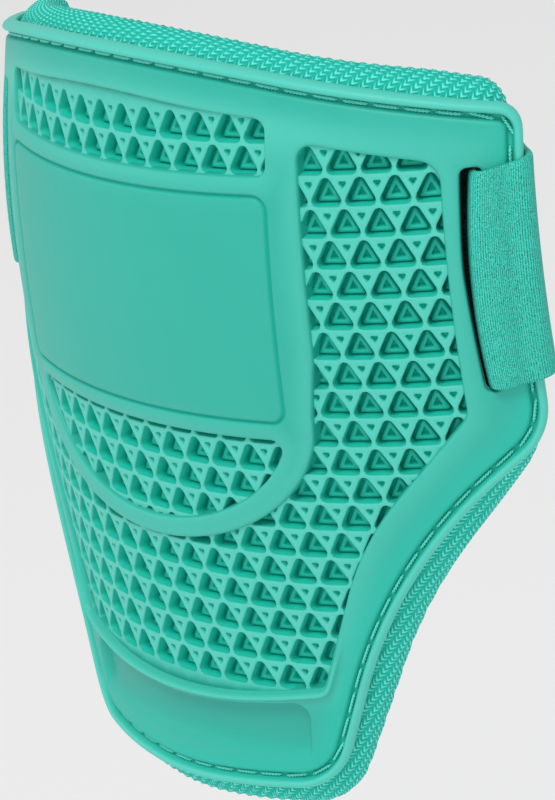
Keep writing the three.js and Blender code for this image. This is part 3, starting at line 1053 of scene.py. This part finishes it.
def lean_outwards(points):
    """Slants the pockets of the wings, deeper places further in."""
    start, end, angle = POCKET_LEAN
    depth = np.clip(FIELD_LEVEL - points[:, 2], 0, None)
    slant = np.tan(angle * smooth(np.abs(points[:, 0]), start, end))
    points[:, 0] -= np.sign(points[:, 0]) * depth * slant
    return points


def close_below(points, faces, level):
    """Walls from the open edges of a sheet down to a level, and a floor between them."""
    ends = np.vstack([np.column_stack((face, np.roll(face, -1))) for face in faces])
    count = len(points)
    key = ends.min(1) * count + ends.max(1)
    _, where, uses = np.unique(key, return_inverse=True, return_counts=True)
    rim = ends[uses[where] == 1]
    used, local = np.unique(rim, return_inverse=True)
    local = local.reshape(-1, 2)
    below = np.arange(count, count + len(used))
    faces += np.column_stack((rim[:, 1], rim[:, 0], below[local[:, 0]], below[local[:, 1]])).tolist()
    flat = points[used, :2]
    faces += below[triangulated(flat, local.tolist())[:, ::-1]].tolist()
    return np.vstack((points, np.column_stack((flat, np.full(len(used), level))))), faces


def window_prisms():
    """Solids that reach down through the windows and a little way under the frame."""
    flat = FlatMesh()
    none = np.zeros((0, 2))
    for line in window_lines(EDGE_STEP):
        section = [(0, LATTICE_BACK + PRISM_GAP), (0, PRISM_TOP)]
        low, high = flat.rings(inset(line, -LATTICE_MARGIN), section)
        flat.fill([low], none, 0, True)
        flat.fill([high], none, 0)
    return mesh_object("windows", flat.points, flat.faces)


def cut_to(obj, cutter):
    """The mesh of what one solid shares with another; both objects are removed."""
    modifier = obj.modifiers.new("windows", "BOOLEAN")
    modifier.operation = "INTERSECT"
    modifier.solver = "MANIFOLD"
    modifier.object = cutter
    mesh = evaluated(obj, modifier)
    bpy.data.objects.remove(cutter)
    return mesh


def mesh_parts(mesh):
    """Points and faces of a mesh, which is then removed."""
    places = np.zeros(len(mesh.vertices) * 3, np.float32)
    mesh.vertices.foreach_get("co", places)
    faces = [list(face.vertices) for face in mesh.polygons]
    bpy.data.meshes.remove(mesh)
    return places.reshape(-1, 3).astype(float), faces


def lattice_tints(points, pitch):
    """How much painted shade tone, painted highlight and painted shade each place of the lattice takes."""
    depth = (FIELD_LEVEL - points[:, 2]) / pitch
    ring = np.abs(depth - RING_DEPTH) < RING_SLACK
    row = (ROW_ZERO - points[:, 1]) / (pitch * math.sqrt(3) / 2)
    after_first = smooth(row - OPEN_ROWS[0], *FIRST_ROW_FADE)
    before_last = smooth(row - OPEN_ROWS[-1], *LAST_ROW_FADE)
    return {
        # Painted shade tone in the pockets and on the ring
        "painted_shade_tone": np.where(ring, RING_SHADE_TINT, smooth(depth, *POCKET_SHADE_DEPTHS)),
        # Painted highlight on the rib tops, fading out at the first and last open rows
        "painted_highlight": smooth(depth, *RIB_HIGHLIGHT_DEPTHS) * after_first * before_last,
        "shade": POCKET_FLOOR_SHADE * smooth(depth, *POCKET_FLOOR_DEPTHS),
    }


def shell_lattice(sizes, finish):
    """Ribs and pockets of the lattice below the windows."""
    pitch = sizes.cell_pitch / MM
    places = cell_places(pitch)
    levels = np.full(len(places), FIELD_LEVEL)
    points = mesh_object("cell_places", np.column_stack((places[:, :2], levels)), [])
    points.data.attributes.new("open", "BOOLEAN", "POINT").data.foreach_set("value", places[:, 2] > 0)
    cells = [cell_object("open_cell", True), cell_object("plain_cell", False)]
    values = {"Cell": cells[0], "Plain cell": cells[1], "Pitch": pitch, "Finish": finish}
    flat, faces = mesh_parts(lattice_tree().run(points, values))
    for cell in cells:
        bpy.data.objects.remove(cell)
    flat, faces = close_below(lean_outwards(flat), faces, LATTICE_BACK)
    flat, faces = mesh_parts(cut_to(mesh_object("patch", flat, faces), window_prisms()))
    return mesh_object("shell_lattice", bend(flat), faces, finish, lattice_tints(flat, pitch))


# Seam stitches


def stitch_object(sizes):
    """Two strands of thread twisted round each other, dipping at both ends."""
    long = sizes.stitch_length / MM
    wide = sizes.thread_width / MM
    part = np.linspace(0, 1, THREAD_STEPS)
    sides = np.arange(THREAD_SIDES) * 2 * math.pi / THREAD_SIDES
    ring = np.column_stack((np.zeros(THREAD_SIDES), np.cos(sides), np.sin(sides)))
    from_middle = 2 * part - 1
    dip = -THREAD_DIP * wide * from_middle**6
    slim = STRAND_RADIUS * wide * np.sqrt(np.clip(1 - from_middle**8, STRAND_TIP, 1))
    aside = STRAND_ASIDE * wide
    points = []
    faces = []
    for strand in (0, math.pi):
        turn = strand - THREAD_TURNS * 2 * math.pi * part
        middle = np.column_stack((long * (part - 0.5), aside * np.cos(turn), aside * np.sin(turn) + dip))
        first = len(points)
        points += (middle[:, None] + slim[:, None, None] * ring).reshape(-1, 3).tolist()
        for step in range(THREAD_STEPS - 1):
            here = first + step * THREAD_SIDES + np.arange(THREAD_SIDES)
            after = np.roll(here, -1)
            faces += np.column_stack((here + THREAD_SIDES, after + THREAD_SIDES, after, here)).tolist()
        last = first + (THREAD_STEPS - 1) * THREAD_SIDES
        faces.append(list(range(first, first + THREAD_SIDES)))
        faces.append(list(range(last + THREAD_SIDES - 1, last - 1, -1)))
    return mesh_object("stitch", points, faces)


def stitch_tree():
    """Stitches at even steps along a line, each turned to run with it."""
    tree = Shapes("seam_stitches", {"Stitch": "Object", "Pitch": "Float", "Finish": "Material"})
    curve = tree.node("GeometryNodeMeshToCurve", None, {0: tree.input("Geometry")})
    sockets = {"Curve": curve, "Length": tree.input("Pitch")}
    even_curve = tree.node("GeometryNodeResampleCurve", {"mode": "LENGTH"}, sockets)
    tangent = tree.node("GeometryNodeInputTangent")
    settings = {"axis": "X", "pivot_axis": "Z"}
    turn = tree.node("FunctionNodeAlignRotationToVector", settings, {"Vector": tangent})
    shape = tree.node("GeometryNodeObjectInfo", None, {"Object": tree.input("Stitch")}, "Geometry")
    sockets = {"Points": even_curve, "Instance": shape, "Rotation": turn}
    tree.end(tree.node("GeometryNodeInstanceOnPoints", None, sockets))
    return tree


def seam_stitches(sizes, finish):
    """Stitches along the groove inside the bead."""
    line = inset(even(rounded(mirrored(RIM)), RIM_STEP), SEAM_INSET)
    path = mesh_object("seam_line", np.column_stack((line, np.full(len(line), SEAM_LEVEL))), [])
    numbers = np.arange(len(line))
    edges = np.column_stack((numbers, np.roll(numbers, -1)))
    path.data.edges.add(len(edges))
    path.data.edges.foreach_set("vertices", edges.ravel())
    stitch = stitch_object(sizes)
    values = {"Stitch": stitch, "Pitch": sizes.stitch_pitch / MM, "Finish": finish}
    flat, faces = mesh_parts(stitch_tree().run(path, values))
    bpy.data.objects.remove(stitch)
    return mesh_object("seam_stitches", bend(flat), faces, finish)


# Pad


def roll_level(distance):
    """Height of the rolled edge above its outermost line, at a distance in from that line."""
    left = np.clip(ROLL - distance, 0, ROLL)
    return np.sqrt(ROLL**2 - left**2)


def cloth_places(points, outline):
    """Flat places of the cloth before it went round the rolled edge, and how far each faces outwards."""
    places = points[:, :2]
    nearest, _ = nearest_on(outline, places)
    distance = np.linalg.norm(places - outline[nearest], axis=1)
    left = np.clip(ROLL - distance, 0, ROLL)
    round_edge = ROLL * np.arcsin(left / ROLL)
    into = inward(outline)[nearest]
    return places + into * (left - round_edge)[:, None], -into * (left / ROLL)[:, None]


def under_slots(points):
    """How far each place of the pad lies behind one of the two slots."""
    u, v, _ = points.T
    return smooth(np.abs(u), *HOLLOW_ACROSS) * smooth(v, *HOLLOW_LOW) * smooth(v, *HOLLOW_HIGH)


def pad_cover(finish):
    """Foam pad in its knitted cover: rolled edge, hollow for the shell's bed, fuller towards the arm."""
    flat = FlatMesh()
    outline = even(rounded(mirrored(PAD)), PAD_STEP)
    middle = PAD_FRONT - ROLL
    front_section = [(distance, middle + roll_level(distance)) for distance in ROLL_INSETS]
    back_section = [(distance, middle - roll_level(distance)) for distance in reversed(ROLL_INSETS)]
    back, front = flat.rings(outline, [*back_section, (0, middle), *front_section])

    def spread(ring):
        loops = [flat.points[ring, :2]]
        fine = seeds(loops, *PAD_FINE[:2])
        wide = seeds(loops, *PAD_WIDE[:2])
        near = distance_to(outline, fine) < PAD_FINE[2]
        far = distance_to(outline, wide) > PAD_WIDE[2]
        return np.vstack((fine[near], wide[far]))

    extra = spread(front)
    flat.fill([front], extra, middle + roll_level(distance_to(outline, extra)))
    bed = inset(even(rounded(mirrored(BED)), PAD_BED_STEP), -BED_GAP)
    sunk = inside(flat.points[:, :2], [bed]) & (flat.points[:, 2] > BED_BACK - BED_GAP)
    flat.points[sunk, 2] = BED_BACK - BED_GAP
    extra = spread(back)
    away = distance_to(outline, extra)
    fuller = PAD_FULLER * smooth(away, ROLL, PAD_FULL_AT)
    flat.fill([back], extra, middle - roll_level(away) - fuller, True)
    under_slot = under_slots(flat.points)
    above = np.clip(flat.points[:, 2] - middle, 0, None)
    flat.points[:, 2] -= HOLLOW_SHARE * above * under_slot
    cloth, outwards = cloth_places(flat.points, outline)
    level = flat.points[:, 2] - middle
    aside = (cloth[:, 0] - cloth[:, 1]) / math.sqrt(2)
    ripple = WALE_HEIGHT * (1 - under_slot) * np.cos(aside * 2 * math.pi / WALE_PITCH)
    flat.points[:, 2] += ripple * np.clip(level / ROLL, -1, 1)
    flat.points[:, :2] += ripple[:, None] * outwards
    shade = np.where(level > -ROLL / 2, under_slot, 0)
    cover = mesh_object("pad_cover", bend(flat.points), flat.faces, finish, {"shade": shade})
    add_uv(cover, cloth)
    return cover


# Strap


def eye_path():
    """Middle line of the band's loop round the right bar: across and outwards, without its joined ends."""
    line = rounded(EYE, EYE_ARC_POINTS)
    return spaced(np.vstack((line, line[:1])), EYE_STEP, True)[EYE_TRIM:-EYE_TRIM].T


def share_at(ranges, across, outwards):
    """How far each place of the loop lies in a range across and a range outwards."""
    return smooth(across, *ranges[0]) * smooth(outwards, *ranges[1])


def hump(across, middle, wide):
    """1 at the middle of a soft hump and 0 well away from it."""
    return np.exp(-(((across - middle) / wide) ** 2))


def stretch(along, v, offset):
    """Places on the bowed stretch behind the arm, from one tail of the band to the other, in metres."""
    right = bend(np.array([(TAIL[0], v, TAIL[1])]))[0]
    left = bend(np.array([(-TAIL[0], v, TAIL[1])]))[0]
    part = along / TAIL[0]
    none = np.zeros(len(along))
    bow = np.column_stack((none, BAND_BOW * MM * (1 - part**2), none))
    slope = -4 * part * BAND_BOW * MM / np.linalg.norm(right - left)
    forwards = np.column_stack((slope, none - 1, none))
    forwards /= np.linalg.norm(forwards, axis=1, keepdims=True)
    return left + (right - left) * (part[:, None] + 1) / 2 + bow + forwards * offset * MM


def eased(line, passes=6):
    """The open line with its kinks worn off."""
    for _ in range(passes):
        line = np.vstack((line[:1], (line[:-2] + 2 * line[1:-1] + line[2:]) / 4, line[-1:]))
    return line


def band_shade():
    """How much painted shade each place along the band's line takes: down in a slot, and a little on its turn
    round the bar.
    """
    across, outwards = eye_path()
    middle, wide, shade = TURN_SHADE
    # Painted shade on the band's turn round the bar
    turn_shade = shade * hump(across, middle, wide) * smooth(outwards, *TURN_SHADE_OUTWARDS)
    dark = SLOT_SHADE * share_at(SLOT_SHADE_AT, across, outwards) + turn_shade
    ends = np.zeros(OVERLAP_STEPS)
    return np.concatenate((ends, dark, np.zeros(BEHIND_STEPS), dark[::-1], ends))


def band_line(v):
    """Middle line of the whole band at one height: sewn end, loop, stretch, loop and sewn end."""
    loop_across, loop_level = eye_path()
    lower = (BAND_HIGH - v) / (BAND_HIGH - BAND_LOW)
    drawn = smooth(loop_level, *DRAWN_OUTWARDS)
    rise = BAND_RISE * share_at(RISE_AT, loop_across, loop_level)
    heights = v + rise - BAND_DRAWN * (1 - lower) * drawn
    bulge = BAND_BULGE * lower * smooth(loop_across, *BULGE_ACROSS) * drawn
    bow = LEG_BOW * 4 * lower * (1 - lower) * share_at(LEG_AT, loop_across, loop_level)
    across = loop_across + bulge - bow
    middle, wide, deep = BAND_DIP
    outwards = loop_level - deep * hump(loop_across, middle, wide) * smooth(loop_level, *DIP_OUTWARDS)
    eye_right = bend(np.column_stack((across, heights, outwards)))
    eye_left = bend(np.column_stack((-across, heights, outwards)))
    overlap = np.linspace(TAIL[0] - BAND_OVERLAP, TAIL[0] - LAP_SHORT, OVERLAP_STEPS)
    inner = 2 * BAND_HALF + LAP_GAP
    behind = np.linspace(TAIL[0] - BEHIND_SHORT, BEHIND_SHORT - TAIL[0], BEHIND_STEPS)
    return eased(np.vstack((
        stretch(overlap, v, inner),
        eye_right,
        stretch(behind, v, 0),
        eye_left[::-1],
        stretch(-overlap[::-1], v, inner),
    )))


def strap_band(finish):
    """The elastic band, a flat section with rounded edges along its line, and the line's length in metres."""
    edge = np.array(BAND_EDGE)
    low = BAND_LOW + edge[:, 0]
    high = BAND_HIGH - edge[::-1, 0]
    between = np.linspace(low[-1], high[0], BAND_LEVELS)[1:-1]
    heights = np.concatenate((low, between, high))
    halves = np.concatenate((edge[:, 1], np.full(len(between), BAND_HALF), edge[::-1, 1])) * MM
    lines = np.array([band_line(v) for v in heights])
    along = np.gradient(lines, axis=1)
    aside = np.stack((along[..., 1], -along[..., 0], np.zeros(along.shape[:2])), 2)
    aside /= np.linalg.norm(aside, axis=2, keepdims=True)
    outer = lines + aside * halves[:, None, None]
    inner = lines - aside * halves[:, None, None]
    section = np.concatenate((outer, inner[::-1]))
    rings, steps = section.shape[:2]
    numbers = np.arange(rings * steps).reshape(rings, steps)
    after = np.roll(numbers, -1, 0)
    sides = np.stack((numbers[:, :-1], numbers[:, 1:], after[:, 1:], after[:, :-1]), 2)
    faces = sides.reshape(-1, 4).tolist()
    faces.append(numbers[:, 0].tolist())
    faces.append(numbers[::-1, -1].tolist())
    shade = {"shade": np.tile(band_shade(), rings)}
    band = mesh_object("strap_band", section.reshape(-1, 3), faces, finish, shade)
    run = lengths_along(lines[len(lines) // 2]) / MM
    levels = np.concatenate((heights, heights[::-1]))
    add_uv(band, np.column_stack((np.tile(run, rings), np.repeat(levels, steps))))
    return band, run[-1] * MM


# Stage


def add_camera():
    """The camera at the photograph's view."""
    level = math.cos(CAMERA_ELEVATION)
    cos = math.cos(CAMERA_AZIMUTH)
    sin = math.sin(CAMERA_AZIMUTH)
    back = Vector((sin * level, -cos * level, math.sin(CAMERA_ELEVATION)))
    right = Vector((cos, sin, 0))
    up = back.cross(right)
    right, up = (
        math.cos(CAMERA_ROLL) * right + math.sin(CAMERA_ROLL) * up,
        math.cos(CAMERA_ROLL) * up - math.sin(CAMERA_ROLL) * right,
    )
    data = bpy.data.cameras.new("view")
    data.sensor_width = SENSOR
    data.lens = FOCAL_PIXELS / IMAGE_HEIGHT * SENSOR
    data.clip_start, data.clip_end = CLIP
    camera = bpy.data.objects.new("view", data)
    bpy.context.scene.collection.objects.link(camera)
    place = CAMERA_PIVOT + CAMERA_DISTANCE * back + CAMERA_ASIDE[0] * right + CAMERA_ASIDE[1] * up
    turn = Matrix((right, up, back)).transposed().to_4x4()
    camera.matrix_world = Matrix.Translation(place) @ turn
    bpy.context.scene.camera = camera


def add_light(name, place, size, power):
    data = bpy.data.lights.new(name, "AREA")
    data.shape = "DISK"
    data.size = size
    data.energy = power
    light = bpy.data.objects.new(name, data)
    bpy.context.scene.collection.objects.link(light)
    light.location = place
    light.rotation_mode = "QUATERNION"
    light.rotation_quaternion = (-Vector(place)).to_track_quat("-Z", "Y")


def add_world():
    world = bpy.data.worlds.new("studio")
    bpy.context.scene.world = world
    world.use_nodes = True
    background = next(node for node in world.node_tree.nodes if node.type == "BACKGROUND")
    background.inputs["Color"].default_value = (1, 1, 1, 1)
    background.inputs["Strength"].default_value = WORLD_STRENGTH


def add_floor(finish):
    """A wide pale floor below the guard."""
    signs = [(-1, -1), (1, -1), (1, 1), (-1, 1)]
    places = [(x * FLOOR_HALF, y * FLOOR_HALF, FLOOR_LEVEL) for x, y in signs]
    mesh_object("floor", places, [[0, 1, 2, 3]], finish)


# Operators


class GUARD_OT_shell(bpy.types.Operator):
    """Build the smooth frame of the shell and the lattice in its windows"""

    bl_idname = "guard.shell"
    bl_label = "Shell"

    def execute(self, context):
        scene = context.scene
        finish = rubber_finish(scene.guard_colours)
        finished(shell_frame(finish), "shell", "shell")
        finished(shell_lattice(scene.guard_sizes, finish), "shell")
        return {"FINISHED"}


class GUARD_OT_stitches(bpy.types.Operator):
    """Sew the stitches along the groove of the shell"""

    bl_idname = "guard.stitches"
    bl_label = "Stitches"

    def execute(self, context):
        scene = context.scene
        finished(seam_stitches(scene.guard_sizes, thread_finish(scene.guard_colours)), "pad")
        return {"FINISHED"}


class GUARD_OT_pad(bpy.types.Operator):
    """Build the foam pad in its knitted cover"""

    bl_idname = "guard.pad"
    bl_label = "Pad"

    def execute(self, context):
        scene = context.scene
        pad = finished(pad_cover(knit_finish(scene.guard_colours, scene.guard_sizes)), "pad", "pad")
        return {"FINISHED"}


class GUARD_OT_strap(bpy.types.Operator):
    """Build the elastic strap that loops round the bars of the wings"""

    bl_idname = "guard.strap"
    bl_label = "Strap"

    def execute(self, context):
        scene = context.scene
        band, long = strap_band(elastic_finish(scene.guard_colours, scene.guard_sizes))
        finished(band, "strap", "strap")
        return {"FINISHED"}


class GUARD_OT_stage(bpy.types.Operator):
    """Set up the floor, the studio light and the camera"""

    bl_idname = "guard.stage"
    bl_label = "Stage"

    def execute(self, context):
        context.scene.view_settings.view_transform = "Standard"
        add_floor(floor_finish(context.scene.guard_colours))
        add_world()
        for light in LIGHTS:
            add_light(*light)
        add_camera()
        return {"FINISHED"}


class GUARD_PT_pieces(bpy.types.Panel):
    """Lists the pieces of the guard, its sizes and its colours"""

    bl_idname = "GUARD_PT_pieces"
    bl_label = "Elbow guard"
    bl_space_type = "VIEW_3D"
    bl_region_type = "UI"
    bl_category = "Elbow guard"

    def draw(self, context):
        for operator in OPERATORS:
            self.layout.operator(operator.bl_idname)
        for group in (context.scene.guard_sizes, context.scene.guard_colours):
            for key in group.__annotations__:
                self.layout.prop(group, key)


OPERATORS = (GUARD_OT_shell, GUARD_OT_stitches, GUARD_OT_pad, GUARD_OT_strap, GUARD_OT_stage)
CLASSES = (GuardSizes, GuardColours, *OPERATORS, GUARD_PT_pieces)


def register():
    for made in CLASSES:
        bpy.utils.register_class(made)
    bpy.types.Scene.guard_sizes = bpy.props.PointerProperty(type=GuardSizes)
    bpy.types.Scene.guard_colours = bpy.props.PointerProperty(type=GuardColours)


def unregister():
    del bpy.types.Scene.guard_colours
    del bpy.types.Scene.guard_sizes
    for made in reversed(CLASSES):
        bpy.utils.unregister_class(made)


def main():
    register()
    bpy.ops.guard.shell()
    bpy.ops.guard.stitches()
    bpy.ops.guard.pad()
    bpy.ops.guard.strap()
    bpy.ops.guard.stage()
    bpy.context.view_layer.update()


if __name__ == "__main__":
    main()
